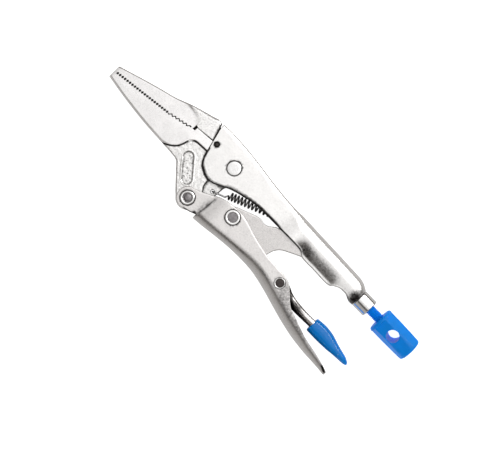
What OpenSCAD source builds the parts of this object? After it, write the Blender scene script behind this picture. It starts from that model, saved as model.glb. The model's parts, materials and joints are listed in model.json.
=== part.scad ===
// Long-nose locking pliers, jaws closed and locked, lying on one side.
// +X runs along the adjusting screw from the jaw tips to the knob, +Y points to the back of the
// fixed handle and +Z is the thickness. Outlines are drawn from the jaw pivot, then moved so that
// the origin is the middle of the bottom of the whole tool.

/* [Overall] */
// Distance from the jaw pivot to the jaw tips
tip_reach = 84.5; // [84.5:0.5:90]
// Distance from the jaw pivot to the far end of the knob
knob_reach = 140.3; // [139:0.1:142]

/* [Jaws] */
// Half thickness of the jaw block behind the nose
jaw_half = 5.8; // [5.6:0.1:6.2]
// Half thickness of the nose at its tip
tip_half = 2.3; // [1.8:0.1:3]
// Half thickness of the nose where it meets the block
nose_half = 4.9; // [4.2:0.1:5.4]
// Half thickness of the lower jaw's forged neck
neck_half = 3.5; // [3:0.1:3.6]
// Pitch of the fine gripping teeth
fine_pitch = 1.71; // [1.6:0.01:1.74]
// Depth of the fine gripping teeth
fine_depth = 0.6; // [0.3:0.1:0.9]
// Pitch of the coarse teeth near the throat
coarse_pitch = 2.3; // [2:0.1:2.4]
// Depth of the coarse teeth
coarse_depth = 0.8; // [0.4:0.1:1.2]
// Light gap left between the closed jaws
bite_gap = 0.12; // [0.05:0.01:0.3]

/* [Fixed handle] */
// Thickness of the fixed handle's sheet steel
sheet = 2.0; // [1.6:0.1:2]
// Half width of the shell round the jaw pivot
shell_half = 5.8; // [5.8:0.1:6.2]
// Half width of the rounded rear tube
tube_half = 7.0; // [6.8:0.1:7.2]

/* [Lower handle and links] */
// Thickness of the lower handle's sheet steel
grip_sheet = 1.8; // [1.5:0.1:1.9]
// Half width of the lower handle's channel
grip_half = 7.0; // [6.8:0.1:7.2]
// Half width over the ears that clasp the lower jaw
ear_half = 5.6; // [5.4:0.1:5.7]
// Half thickness of the toggle link
link_half = 3.0; // [2.5:0.1:3.2]
// Half width of the release lever
lever_half = 4.6; // [4:0.1:4.7]
// Half width of the dipped grip on the lever
dip_half = 4.9; // [4.8:0.1:5]

/* [Screw and knob] */
// Major radius of the adjusting screw's thread
thread_r = 3.0; // [2.8:0.05:3]
// Pitch of that thread
thread_pitch = 1.0; // [0.8:0.1:1.2]
// Turned radius of the knob over its corners
knob_r = 7.7; // [7.6:0.05:7.8]
// Size of the knob across its hexagon flats
knob_flats = 13.5; // [13.2:0.1:13.6]
// Radius of the tether hole through the knob
tether_r = 3.7; // [3:0.1:3.7]
// Lean of the knob's holed flat from +Z towards -Y, in degrees
knob_lean = 13.8; // [0:0.1:30]

/* [Rivets] */
// Radius of the three main rivets
rivet_r = 3.0; // [2.5:0.1:3]
// Running clearance of everything that turns on a rivet or in a bush
run_fit = 0.05; // [0.02:0.01:0.1]

/* [Spring] */
// Outer radius of the spring's coils
coil_r = 2.45; // [2.2:0.05:2.6]
// Radius of the spring's wire
wire_r = 0.45; // [0.35:0.05:0.5]

/* [Hidden] */
$fn = 48;

// Pivot centres, measured from the jaw pivot
jaw_pivot = [0, 0];
handle_pivot = [-6.3, -29.5];
link_pivot = [18.7, -19.3];
link_end = [66, 0];
lever_pivot = [62.5, -25.7];
lock_pin = [-16, 2.3];
spring_eye = [0.8, -17.4];
spring_anchor = [43, 2];

// Extents of the whole tool, which set the origin
back_y = 13.1;
belly_y = -43.7;
centre_x = (knob_reach - tip_reach) / 2;
centre_y = (back_y + belly_y) / 2;

module place() {
    translate([-centre_x, -centre_y, knob_r]) children();
}

// A plate of the child outline, half thick on each side of the middle plane
module plate(half) {
    linear_extrude(height = 2 * half, center = true) children();
}

// The child outline as two plates, from z0 to z1 on both sides of the middle plane
module plate_pair(z0, z1) {
    for (side = [0, 1])
        mirror([0, 0, side]) translate([0, 0, z0]) linear_extrude(height = z1 - z0) children();
}

// A round bar or hole through the thickness at a pivot
module across(p, r, half) {
    translate([p[0], p[1], 0]) cylinder(r = r, h = 2 * half, center = true);
}

// A round bar or hole along X on the screw's axis
module along(r, x0, x1) {
    translate([x0, 0, 0]) rotate([0, 90, 0]) cylinder(r = r, h = x1 - x0);
}

// ---- sheet-steel channels ------------------------------------------------------------------

// Half of a channel's cross-section from its rim to the middle of its back, as [z, y] points.
// w is the half width, r the bend radius at the back, tuck how far the rim curls in.
function half_section(w, r, back, rim, tuck) =
    let (d = back > rim ? 1 : -1,
         knee = back - d * r,
         n = 6)
    concat(
        [for (i = [0:2]) [w - tuck * (1 - sin(45 * i)), rim + (knee - rim) * (1 - cos(45 * i)) * 0.8]],
        [for (i = [0:n]) [w - r + r * cos(90 * i / n), knee + d * r * sin(90 * i / n)]]);

function whole_section(half) =
    concat(half, [for (i = [len(half) - 1:-1:0]) [-half[i][0], half[i][1]]]);

// A closed ring of the channel's skin: outside from rim to rim, then back along the inside
function channel_ring(x, w, r, back, rim, tuck, t) =
    let (d = back > rim ? 1 : -1,
         outer = whole_section(half_section(w, r, back, rim, tuck)),
         inner = whole_section(half_section(w - t, max(r - t, 0.4), back - d * t, rim, tuck)),
         last = len(inner) - 1)
    concat([for (p = outer) [x, p[1], p[0]]], [for (i = [last:-1:0]) [x, inner[i][1], inner[i][0]]]);

// Solid skin through a list of rings; flip turns the faces for a channel whose back is at -Y
module channel(rings, flip) {
    n = len(rings[0]);
    m = len(rings);
    half = n / 2;
    walls = [for (i = [0:m - 2], j = [0:n - 1])
        let (a = i * n + j, b = i * n + (j + 1) % n, c = a + n, d = b + n)
        each [[a, b, d], [a, d, c]]];
    caps = [for (j = [0:half - 2])
        each let (a = j, b = j + 1, c = n - 2 - j, d = n - 1 - j, e = (m - 1) * n)
            [[a, d, c, b], [a + e, b + e, c + e, d + e]]];
    faces = concat(walls, caps);
    turned = flip ? [for (f = faces) [for (k = [len(f) - 1:-1:0]) f[k]]] : faces;
    polyhedron(points = [for (ring = rings) each ring], faces = turned, convexity = 6);
}

// ---- fixed handle --------------------------------------------------------------------------

// Back, lower rim, half width, bend radius and rim curl of the fixed handle along X
shell_back = [[-21, 12.9], [-15, 13.1], [-5, 12.8], [5, 12], [15, 10.8], [25, 9.7], [35, 9],
              [41, 8.9], [45, 9.2], [60, 8.9], [80, 8.5], [92, 8.1], [95, 7.5], [98.6, 5.6]];
shell_rim = [[-21, -10], [-13, -11.5], [-9, -13.8], [-5, -14.7], [-2, -14], [2, -12], [6, -9.9],
             [10, -8.4], [15, -7.1], [20, -5.9], [27, -5.2], [54, -4.9], [58, -5.4], [61, -7.2],
             [82, -7.4], [84, -5.8], [87, -4.2], [90, -3.7], [93, -4], [96, -5.3], [98.6, -5.5]];
shell_w = [[-21, shell_half], [38, shell_half], [50, tube_half], [93, tube_half], [98.6, 5.7]];
shell_r = [[-21, 1.8], [35, 2.4], [50, 6.2], [93, 6.4], [98.6, 5.4]];
shell_tuck = [[-21, 0], [45, 0], [60, 1.2], [98.6, 1.2]];
shell_t = [[-21, sheet], [93, sheet], [98.6, 1.6]];
shell_x = [for (x = [-21:3:81]) x, 82, 84, 86, 88, 90, 92, 94, 96, 98.6];
nose_arc_r = 17.5;
shell_front = [[-21, 12], [-20.3, 8.5], [-19.3, 4.5], [-18.5, 2], [-17.7, -1], [-17.4, -2]];

// Everything in front of the shell's front edge, moved forward by gap
module in_front_of_shell(gap) {
    difference() {
        translate([-gap, 0])
            polygon(concat([[-60, 30], [-21, 30]], shell_front, [[-9, -2], [-9, -30], [-60, -30]]));
        circle(r = nose_arc_r + gap, $fn = 96);
    }
}

module shell_skin() {
    channel([for (x = shell_x)
        channel_ring(x, lookup(x, shell_w), lookup(x, shell_r), lookup(x, shell_back),
                     lookup(x, shell_rim), lookup(x, shell_tuck), lookup(x, shell_t))], false);
}

// Lanced tab under the back of the shell, with the hole that anchors the spring
module spring_tab() {
    translate([spring_anchor[0] - 2, spring_anchor[1] - 2, -0.75]) cube([4, 7.2, 1.5]);
}

module fixed_handle() {
    color("silver") place() difference() {
        union() {
            shell_skin();
            spring_tab();
        }
        plate(20) in_front_of_shell(0);
        across(jaw_pivot, rivet_r + run_fit, 20);
        across(lock_pin, 1.65, 20);
        across(spring_anchor, 0.9, 3);
        plate_pair(shell_half - 0.7, 10) circle(r = 4.15);
    }
}

// ---- jaws ----------------------------------------------------------------------------------

// Height of the closed bite line, which runs down to the tips
function bite(x) = lookup(x, [[-tip_reach, -9.95], [-47, -4.75], [-32, -1.35]]);

// Tooth notches on one side of the bite line; side is 1 for the upper jaw and -1 for the lower
function notch(x, w, depth, side) = let (g = side * bite_gap / 2)
    [[x, bite(x) + g], [x + w / 2, bite(x + w / 2) + g + side * depth], [x + w, bite(x + w) + g]];
function teeth(side) = concat(
    [for (i = [0:20]) each notch(-82.9 + i * fine_pitch, 0.66 * fine_pitch, fine_depth, side)],
    [for (i = [0:5]) each notch(-46.4 + i * coarse_pitch, 0.75 * coarse_pitch, coarse_depth, side)]);

upper_nose_top = [[-24, 9], [-30, 9.4], [-36, 9], [-42, 7.2], [-50, 4.1], [-60, 1.3], [-70, -1.7],
                  [-77.5, -4.1], [-tip_reach, -6.3]];
upper_block = [[-43, 6.9], [-38, 8.7], [-33, 10.2], [-28, 11.7], [-23.5, 13], [-22.2, 12.3],
               [-20, 12.2], [-16, 2.75], [-30.1, 1.05], [-30.8, 1.7], [-31.4, 1.3], [-33.5, 3.6],
               [-37, 5.1], [-42, 5.7]];
lower_nose = [[-31.5, -1.4], [-29.9, -1.5], [-29.9, 0.95], [-16, 2.6], [-16, -3.7], [-25.8, -4.4],
              [-26.8, -5.2], [-28.8, -7.2], [-29.2, -9], [-30, -11.7], [-31.5, -14.2],
              [-34.5, -16.6], [-38.5, -18.7], [-50, -18.3], [-60, -17.5], [-70, -16.4],
              [-77, -15.4], [-tip_reach, -14.2]];

// Plan of the nose: it thins towards its rounded tip
module nose_plan(root_half) {
    plan = [[-tip_reach, tip_half - 0.8], [-tip_reach + 0.9, tip_half], [-46, nose_half - 0.3],
            [-38, nose_half], [-30, root_half], [0, root_half]];
    rotate([90, 0, 0]) linear_extrude(height = 100, center = true)
        polygon(concat(plan, [for (i = [len(plan) - 1:-1:0]) [plan[i][0], -plan[i][1]]]));
}

module upper_jaw() {
    color("gainsboro") place() difference() {
        union() {
            intersection() {
                plate(jaw_half) polygon(concat([[-tip_reach, bite(-tip_reach) + bite_gap / 2]],
                    teeth(1), [[-31.4, -1.2], [-31.4, 1.3], [-24, 2]], upper_nose_top));
                nose_plan(nose_half);
            }
            plate(jaw_half) intersection() {
                polygon(upper_block);
                in_front_of_shell(0.3);
            }
            plate(shell_half - sheet - 0.05) difference() {
                polygon([[-24, 10.6], [-6, 10.4], [-6, -0.55], [-17.3, -0.55], [-17.3, 2.7],
                         [-24, 1.9]]);
                circle(r = 9.3, $fn = 96);
            }
        }
        across(lock_pin, 1.65, 20);
    }
}

module jaw_lock_pin() {
    color("dimgray") place() across(lock_pin, 1.6, 5.3);
}

// Rounded slot outline from a to b
module slot(a, b, r) {
    d = b - a;
    translate(a) rotate(atan2(d[1], d[0])) {
        circle(r = r);
        translate([0, -r]) square([norm(d), 2 * r]);
        translate([norm(d), 0]) circle(r = r);
    }
}

lower_neck = [[0, 8], [-8.4, -0.9], [-22, -0.9], [-27, -4], [-34, -10], [-38.5, -18.7], [-28, -19.2],
              [-25.5, -19.9], [-24, -21.3], [-11.1, -34.3], [-3, -34], [-1.3, -25], [-3, -21.3],
              [-4.2, -20], [-5.2, -17.6], [-5.5, -14.5], [-4, -8], [6, -6]];
spring_web = [[-7, -13], [-4, -7], [7, -5], [3.6, -12], [3.6, -18.6], [1.5, -25], [-3, -28],
              [-5, -22]];

module lower_jaw() {
    color("darkgray") place() difference() {
        union() {
            intersection() {
                plate(jaw_half) difference() {
                    polygon(concat([[-tip_reach, bite(-tip_reach) - bite_gap / 2]], teeth(-1),
                                   lower_nose));
                    difference() {
                        translate([-20, -6]) square(12);
                        in_front_of_shell(0.35);
                    }
                }
                nose_plan(jaw_half);
            }
            plate(neck_half) {
                polygon(lower_neck);
                circle(r = 8.6);
                translate(handle_pivot) circle(r = 6.8);
            }
            plate(1.6) polygon(spring_web);
        }
        across(jaw_pivot, rivet_r + run_fit, 20);
        across(handle_pivot, rivet_r + run_fit, 20);
        across(spring_eye, 0.95, 20);
        plate_pair(neck_half - 0.4, 10) slot([-22.2, -13.4], [-14, -22.7], 3);
    }
}

// ---- lower handle --------------------------------------------------------------------------

grip_back = [[4, -35.3], [10, -34.7], [20, -33.3], [30, -32.3], [38, -32], [45, -32.2], [52, -33.2],
             [60, -35], [70, -37.7], [80, -40.2], [90, -42], [100, -42.9], [110, -43.2],
             [115.2, belly_y]];
grip_rim = [[4, -17.7], [6.5, -16.4], [10, -15.3], [14, -14.6], [20, -14.2], [26, -15.2],
            [33, -17.3], [40, -19], [46, -20.1], [55, -20.7], [62, -20.9], [66, -22], [69, -24.4],
            [74, -28.8], [78, -31.4], [84, -33.3], [90, -35.3], [96, -37], [104, -38.4],
            [110, -39.7], [115.2, -41.3]];
grip_r = [[4, 3.4], [30, 3.6], [45, 4.4], [60, 5.4], [75, 6], [115.2, 6.3]];
grip_x = [for (x = [4:3:112]) x, 115.2];

module lower_handle() {
    color("silver") place() difference() {
        union() {
            channel([for (x = grip_x)
                let (back = lookup(x, grip_back), rim = lookup(x, grip_rim))
                channel_ring(x, grip_half, min(lookup(x, grip_r), 0.95 * (rim - back)),
                             back, rim, 0, grip_sheet)], true);
            plate_pair(ear_half - grip_sheet, ear_half) {
                translate(handle_pivot) circle(r = 6.2);
                polygon([[-9, -23.9], [-2, -21.4], [6.5, -17.2], [6.5, -31.8], [2.6, -33],
                         [-4.3, -35.3]]);
            }
        }
        across(handle_pivot, rivet_r + run_fit, 20);
        across(link_pivot, rivet_r + run_fit, 20);
        across(lever_pivot, 2.05, 20);
    }
}

// A rivet: shank across the tool with a low head on each side
module rivet(p, r, head_r, seat, proud) {
    across(p, r, seat + proud / 2);
    translate([p[0], p[1], 0]) for (side = [0, 1]) mirror([0, 0, side]) translate([0, 0, seat]) {
        cylinder(r = head_r, h = 0.6 * proud);
        translate([0, 0, 0.6 * proud]) cylinder(r1 = head_r, r2 = 0.7 * head_r, h = 0.4 * proud);
    }
}

module jaw_pivot_rivet() {
    color("whitesmoke") place() rivet(jaw_pivot, rivet_r, 4.1, shell_half - 0.65, 0.6);
}

module handle_rivet() {
    color("gray") place() rivet(handle_pivot, rivet_r, 4.1, ear_half + 0.02, 1.0);
}

module link_rivet() {
    color("gray") place() rivet(link_pivot, rivet_r, 4.2, grip_half + 0.02, 0.45);
}

module lever_rivet() {
    color("dimgray") place() rivet(lever_pivot, 2, 3.2, grip_half + 0.02, 0.4);
}

// ---- toggle link, release lever and its grip -----------------------------------------------

// Points on an arc about a centre, from angle a0 to a1
function arc(c, r, a0, a1, n) =
    [for (i = [0:n]) let (a = a0 + (a1 - a0) * i / n) [c[0] + r * cos(a), c[1] + r * sin(a)]];

// Direction of the link, which lies in line with the jaw-to-handle rivet when locked
link_dir = atan2(link_end[1] - link_pivot[1], link_end[0] - link_pivot[0]);
link_outline = concat(
    arc(link_pivot, 6.1, link_dir + 90, link_dir + 260, 24),
    [[43, -23.4], [45.8, -22.6], [46.6, -19.5], [47.6, -16], [50, -12.9], [55, -10], [60, -7.5]],
    arc(link_end, 3.6, link_dir - 90, link_dir + 90, 16),
    [[50, -1.5], [39.2, -5.8], [37, -7.6], [35, -8.8], [33, -9.1], [30, -8.7], [27, -9.3]]);

module toggle_link() {
    color("silver") place() difference() {
        plate(link_half) polygon(link_outline);
        across(link_pivot, rivet_r + run_fit, 20);
    }
}

lever_top = [[49.8, -22.6], [56, -22.2], [63, -21.4], [68, -23], [72, -24.7], [76, -25.5],
             [85, -26.1], [92, -26], [104, -26.3], [113, -29]];
lever_bottom = [[113, -30.4], [104, -30.2], [92, -30.7], [85, -31], [79, -31.2], [74, -30.6],
                [66, -29.3], [58, -29.2], [49.8, -24.6]];

module release_lever() {
    color("darkgray") place() difference() {
        plate(lever_half) polygon(concat(lever_top, lever_bottom));
        plate(lever_half - 1.6) translate([0, -1.6]) polygon(concat(
            [[40, -23], [49.8, -23]], [for (i = [1:len(lever_top) - 2]) lever_top[i]],
            [[110, -40], [40, -40]]));
        across(lever_pivot, 2.05, 20);
    }
}

grip_top = [[91.2, -24.6], [91.8, -24.2], [98, -23.7], [103, -24.2], [108, -25.7], [112, -26.8],
            [117, -27.8], [120, -29.4], [120.7, -30.3]];
grip_bottom = [[120.2, -31.2], [118, -31.9], [112, -32.2], [106, -32.9], [98, -33.2], [91.6, -33.1],
               [91.2, -32.8]];

module lever_grip() {
    color("dodgerblue") place() difference() {
        intersection() {
            plate(dip_half) polygon(concat(grip_top, grip_bottom));
            rotate([90, 0, 0]) linear_extrude(height = 100, center = true)
                polygon([[91.2, -dip_half + 0.3], [91.6, -dip_half], [108, -dip_half], [116, -4.3],
                         [119.6, -3], [120.7, -1.5], [120.7, 1.5], [119.6, 3], [116, 4.3],
                         [108, dip_half], [91.6, dip_half], [91.2, dip_half - 0.3]]);
        }
        plate(lever_half + 0.02) polygon([[85, -26.05], [92, -25.98], [104, -26.28], [113.05, -28.98],
                                         [113.05, -30.45], [104, -30.25], [92, -30.75], [85, -31.05]]);
    }
}

// ---- screw, bush and knob ------------------------------------------------------------------

module screw_bush() {
    color("lightgray") place() difference() {
        union() {
            along(5.4, 98.8, 107.1);
            translate([107.1, 0, 0]) rotate([0, 90, 0]) cylinder(r1 = 5.4, r2 = 5, h = 0.4);
            along(3.95, 86, 99);
        }
        along(thread_r + run_fit, 80, 110);
    }
}

// The thread is a stack of rings, so that it slides freely through the bush
module adjusting_screw() {
    x0 = 74;
    turns = floor((120.8 - x0 - 3) / thread_pitch);
    profile = concat([[0, 0], [1.6, 0], [2.4, 0.8], [2.4, 3]],
        [for (i = [0:turns - 1]) each [[thread_r - 0.5, 3 + i * thread_pitch],
            [thread_r, 3 + (i + 0.4) * thread_pitch], [thread_r, 3 + (i + 0.6) * thread_pitch]]],
        [[thread_r - 0.5, 3 + turns * thread_pitch], [0, 3 + turns * thread_pitch]]);
    color("royalblue") place() translate([x0, 0, 0]) rotate([0, 90, 0])
        rotate_extrude() polygon(profile);
}

// Turned outline of the knob, as [radius, distance from its inner end]
knob_len = knob_reach - 115;
knob_turned = [[0, 0], [6.6, 0], [7.3, 0.35], [knob_r, 1.2], [knob_r, 10], [7.2, knob_len - 2],
               [6.8, knob_len - 1], [5.6, knob_len - 0.4], [3, knob_len - 0.1], [0, knob_len]];

module screw_knob() {
    flat = knob_flats / 2;
    color("royalblue") place() translate([115, 0, 0]) difference() {
        rotate([0, 90, 0]) rotate_extrude() polygon(knob_turned);
        for (k = [0:5]) rotate([knob_lean + 60 * k, 0, 0]) translate([2, -10, flat]) cube([40, 20, 5]);
        along(thread_r + run_fit, -1, 6);
        translate([11.5, 0, 0]) rotate([knob_lean, 0, 0]) {
            cylinder(r = tether_r, h = 40, center = true);
            for (side = [0, 1]) mirror([0, 0, side]) translate([0, 0, flat - 0.4])
                cylinder(r1 = tether_r, r2 = tether_r + 0.8, h = 0.8);
        }
    }
}

// ---- tension spring ------------------------------------------------------------------------

coil_start = [8.8, -12.4, 0];
coil_end = [39.6, 0.4, 0];
coil_turns = 15;
steps = 12;
helix_r = coil_r - wire_r;

// Pitch grows towards the anchored end
function coil_place(u) = coil_start + (coil_end - coil_start) * (0.8 * u + 0.2 * u * u);
coil_dir = (coil_end - coil_start) / norm(coil_end - coil_start);
coil_side = [-coil_dir[1], coil_dir[0], 0];
spring_path = concat(
    [[0.8, -17.4, -2.3], [0.8, -17.4, 1.4], [1.5, -17, 2.1], [7.6, -14.6, 2]],
    [for (i = [0:coil_turns * steps]) let (a = 90 + 360 * i / steps)
        coil_place(i / (coil_turns * steps)) + helix_r * (cos(a) * coil_side + sin(a) * [0, 0, 1])],
    [[41.6, 0.9, 2], [43, 2, 1.6], [43, 2, -1.8]]);

// Wire of radius r along a path, with six sides
module wire(path, r) {
    n = 6;
    last = len(path) - 1;
    dirs = [for (i = [0:last]) let (d = path[min(i + 1, last)] - path[max(i - 1, 0)]) d / norm(d)];
    points = [for (i = [0:last])
        let (t = dirs[i],
             s = cross(t, abs(t[2]) > 0.9 ? [1, 0, 0] : [0, 0, 1]),
             u = s / norm(s),
             v = cross(t, u))
        for (k = [0:n - 1]) path[i] + r * (cos(360 * k / n) * u + sin(360 * k / n) * v)];
    faces = concat([[for (k = [0:n - 1]) k]], [[for (k = [n - 1:-1:0]) last * n + k]],
        [for (i = [0:last - 1], k = [0:n - 1])
            let (a = i * n + k, b = i * n + (k + 1) % n) each [[a, a + n, b + n], [a, b + n, b]]]);
    polyhedron(points = points, faces = faces, convexity = 20);
}

module tension_spring() {
    color("dimgray") place() wire(spring_path, wire_r);
}

fixed_handle();
upper_jaw();
jaw_lock_pin();
jaw_pivot_rivet();
screw_bush();
lower_jaw();
lower_handle();
handle_rivet();
link_rivet();
lever_rivet();
toggle_link();
release_lever();
lever_grip();
adjusting_screw();
screw_knob();
tension_spring();
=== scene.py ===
"""Looks of the long-nose locking pliers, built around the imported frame.

Shapes are drawn in millimetres from the jaw pivot, as on the tool itself: +X along the adjusting
screw towards the knob, +Y towards the back of the fixed handle and z up from the middle plane.
"""
import json
import math

import bmesh
import bpy
import numpy as np
from mathutils import Matrix, Vector, noise


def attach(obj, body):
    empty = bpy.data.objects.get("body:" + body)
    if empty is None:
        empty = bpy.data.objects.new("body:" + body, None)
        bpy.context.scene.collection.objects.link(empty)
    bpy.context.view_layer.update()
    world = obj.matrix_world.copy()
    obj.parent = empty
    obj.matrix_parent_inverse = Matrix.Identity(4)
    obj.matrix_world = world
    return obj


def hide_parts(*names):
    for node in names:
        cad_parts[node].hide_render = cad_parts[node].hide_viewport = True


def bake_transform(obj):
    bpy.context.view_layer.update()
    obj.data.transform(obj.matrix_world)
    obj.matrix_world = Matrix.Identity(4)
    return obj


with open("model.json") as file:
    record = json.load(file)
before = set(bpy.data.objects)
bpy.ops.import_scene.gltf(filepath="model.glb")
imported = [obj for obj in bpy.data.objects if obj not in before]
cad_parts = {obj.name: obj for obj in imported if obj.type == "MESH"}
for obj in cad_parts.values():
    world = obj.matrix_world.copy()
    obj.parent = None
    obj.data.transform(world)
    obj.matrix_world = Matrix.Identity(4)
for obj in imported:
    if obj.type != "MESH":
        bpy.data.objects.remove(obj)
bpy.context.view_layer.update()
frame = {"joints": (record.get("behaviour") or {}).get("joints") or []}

MM = 0.001
JOINTS = {j["name"]: j for j in frame["joints"]}
PIVOT = Vector(JOINTS["jaw_hinge"]["pos_m"])


def pivot_of(joint):
    """A joint's centre in millimetres from the jaw pivot."""
    return (Vector(JOINTS[joint]["pos_m"]) - PIVOT) / MM


HANDLE_PIVOT = pivot_of("handle_hinge")
LINK_PIVOT = pivot_of("link_hinge")
LEVER_PIVOT = pivot_of("lever_hinge")
SPRING_EYE = Vector((0.8, -17.4, 0))
SPRING_ANCHOR = Vector((43, 2, 0))
SCREW_R = 3.0
BORE_R = 3.05


# ---- mesh helpers --------------------------------------------------------------------------

def add_object(name, data):
    """An object for a mesh, curve, light or camera, put into the scene."""
    obj = bpy.data.objects.new(name, data)
    bpy.context.scene.collection.objects.link(obj)
    return obj


def new_object(name, verts, faces, smooth_angle=32):
    """A mesh object from points in millimetres from the jaw pivot."""
    mesh = bpy.data.meshes.new(name)
    mesh.from_pydata([tuple(PIVOT + Vector(v) * MM) for v in verts], [], faces)
    mesh.validate()
    bm = bmesh.new()
    bm.from_mesh(mesh)
    bmesh.ops.remove_doubles(bm, verts=bm.verts, dist=0.004 * MM)
    bmesh.ops.dissolve_degenerate(bm, edges=bm.edges, dist=0.002 * MM)
    bmesh.ops.recalc_face_normals(bm, faces=bm.faces)
    bm.to_mesh(mesh)
    bm.free()
    obj = add_object(name, mesh)
    shade(obj, smooth_angle)
    return obj


def shade(obj, smooth_angle):
    """Smooth shading, with a hard edge wherever faces meet at more than the angle in degrees."""
    mesh = obj.data
    mesh.polygons.foreach_set("use_smooth", [True] * len(mesh.polygons))
    mesh.set_sharp_from_angle(angle=math.radians(smooth_angle))
    weighted = obj.modifiers.new("face_weighted_normals", "WEIGHTED_NORMAL")
    weighted.keep_sharp = True
    weighted.weight = 60


def join(name, parts):
    """One object out of several, applying nothing but their meshes."""
    bm = bmesh.new()
    for part in parts:
        bm.from_mesh(part.data)
    mesh = bpy.data.meshes.new(name)
    bm.to_mesh(mesh)
    bm.free()
    for part in parts:
        bpy.data.objects.remove(part)
    return add_object(name, mesh)


def hermite(u, a, b, slope_a, slope_b):
    """A cubic from a to b as u goes from 0 to 1, with the given slopes at its ends."""
    return ((2 * u ** 3 - 3 * u ** 2 + 1) * a + (u ** 3 - 2 * u ** 2 + u) * slope_a
            + (3 * u ** 2 - 2 * u ** 3) * b + (u ** 3 - u ** 2) * slope_b)


def steady(points):
    """A function of x through (x, value) points: a cubic that never overshoots them."""
    xs = np.array([p[0] for p in points], float)
    ys = np.array([p[1] for p in points], float)
    slope = np.diff(ys) / np.diff(xs)
    tangent = np.zeros(len(xs))
    tangent[0], tangent[-1] = slope[0], slope[-1]
    for i in range(1, len(xs) - 1):
        if slope[i - 1] * slope[i] > 0:
            tangent[i] = 2 * slope[i - 1] * slope[i] / (slope[i - 1] + slope[i])

    def value(x):
        x = min(max(x, xs[0]), xs[-1])
        i = min(int(np.searchsorted(xs, x, side="right")) - 1, len(xs) - 2)
        h = xs[i + 1] - xs[i]
        return hermite((x - xs[i]) / h, ys[i], ys[i + 1], h * tangent[i], h * tangent[i + 1])

    return value


def smoothstep(a, b, x):
    """0 before a, 1 past b and an eased step between them; a may be the larger."""
    u = min(max((x - a) / (b - a), 0.0), 1.0)
    return u * u * (3 - 2 * u)


def lerp(a, b, u):
    """The point at the share u of the way from a to b."""
    return tuple(p + (q - p) * u for p, q in zip(a, b))


def run_through(points, step):
    """Points every step or so along a smooth curve through the given ones, corners rounded off."""
    pts = [Vector(p[:2]) for p in points]
    out = []
    for i in range(len(pts) - 1):
        before = pts[max(i - 1, 0)]
        a, b = pts[i], pts[i + 1]
        after = pts[min(i + 2, len(pts) - 1)]
        count = max(1, round((b - a).length / step))
        reach = (b - a).length
        m0 = (b - before).normalized() * reach if (b - before).length else b - a
        m1 = (after - a).normalized() * reach if (after - a).length else b - a
        out += [tuple(hermite(k / count, a, b, m0, m1)) for k in range(count)]
    out.append(tuple(pts[-1]))
    return out


def straight_runs(points, step):
    """Evenly spaced points in space, on straight runs between the given ones."""
    out = []
    for a, b in zip(points, points[1:]):
        a, b = Vector(a), Vector(b)
        count = max(1, round((b - a).length / step))
        out += [a.lerp(b, k / count) for k in range(count)]
    out.append(Vector(points[-1]))
    return out


def arc(centre, radius, start, sweep, count):
    """Points on a circle from the angle start, sweep degrees round in count steps."""
    angles = [math.radians(start + sweep * k / count) for k in range(count + 1)]
    return [(centre[0] + radius * math.cos(a), centre[1] + radius * math.sin(a)) for a in angles]


def disc(centre, radius, steps):
    """Points all the way round a circle."""
    return [(centre[0] + radius * math.cos(2 * math.pi * k / steps),
             centre[1] + radius * math.sin(2 * math.pi * k / steps)) for k in range(steps)]


def resample(points, count):
    """Count points evenly spaced along a polyline."""
    pts = np.array([p[:2] for p in points], float)
    s = np.concatenate([[0], np.cumsum(np.linalg.norm(np.diff(pts, axis=0), axis=1))])
    at = np.linspace(0, s[-1], count)
    return list(zip(np.interp(at, s, pts[:, 0]), np.interp(at, s, pts[:, 1])))


def rings_to_mesh(rings, closed_ends=True):
    """Quads between closed rings of the same length, with the end rings filled."""
    n = len(rings[0])
    verts = [p for ring in rings for p in ring]
    faces = []
    for i in range(len(rings) - 1):
        for j in range(n):
            a, b = i * n + j, i * n + (j + 1) % n
            faces.append((a, b, b + n, a + n))
    if closed_ends:
        faces.append(tuple(range(n))[::-1])
        faces.append(tuple((len(rings) - 1) * n + j for j in range(n)))
    return verts, faces


# A long edge's shape, as (outwards, down) shares of its size: a shallow bevel, eased at both ends
EDGE_SHAPE = [(0.2, 0.04), (0.85, 0.46), (1.0, 0.75)]


def slab(name, low, high, half, across=16, low_round=0.3, high_round=0.3, bump=None):
    """A solid between two outlines, ring by ring from low[i] to high[i].

    half(x, y) is the half thickness; low_round and high_round are the radii of the long edges,
    as numbers or functions of x. bump(x, y, side) adds to the height of the faces.
    """
    rings = []
    for p, q in zip(low, high):
        p, q = Vector(p[:2]), Vector(q[:2])
        length = max((q - p).length, 1e-6)
        along = (q - p) / length
        rp = low_round(p.x) if callable(low_round) else low_round
        rq = high_round(q.x) if callable(high_round) else high_round
        limit = min(0.45 * length, 0.9 * half(p.x, p.y), 0.9 * half(q.x, q.y))
        rp, rq = min(rp, limit), min(rq, limit)
        face = []
        for k in range(across + 1):
            s = rp + (length - rp - rq) * k / across
            at = p + along * s
            face.append((at.x, at.y, half(at.x, at.y)))
        edge_q, edge_p = [], []
        for outwards, down in EDGE_SHAPE:
            at = p + along * (length - rq + rq * outwards)
            edge_q.append((at.x, at.y, half(q.x, q.y) - rq * down))
            at = p + along * (rp - rp * outwards)
            edge_p.append((at.x, at.y, half(p.x, p.y) - rp * down))
        top = edge_p[::-1] + face + edge_q
        ring = []
        for side in (1, -1):
            line = top if side > 0 else top[::-1]
            for x, y, z in line:
                extra = bump(x, y, side) if bump else 0.0
                ring.append((x, y, side * (z + extra)))
        rings.append(ring)
    return new_object(name, *rings_to_mesh(rings))


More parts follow.
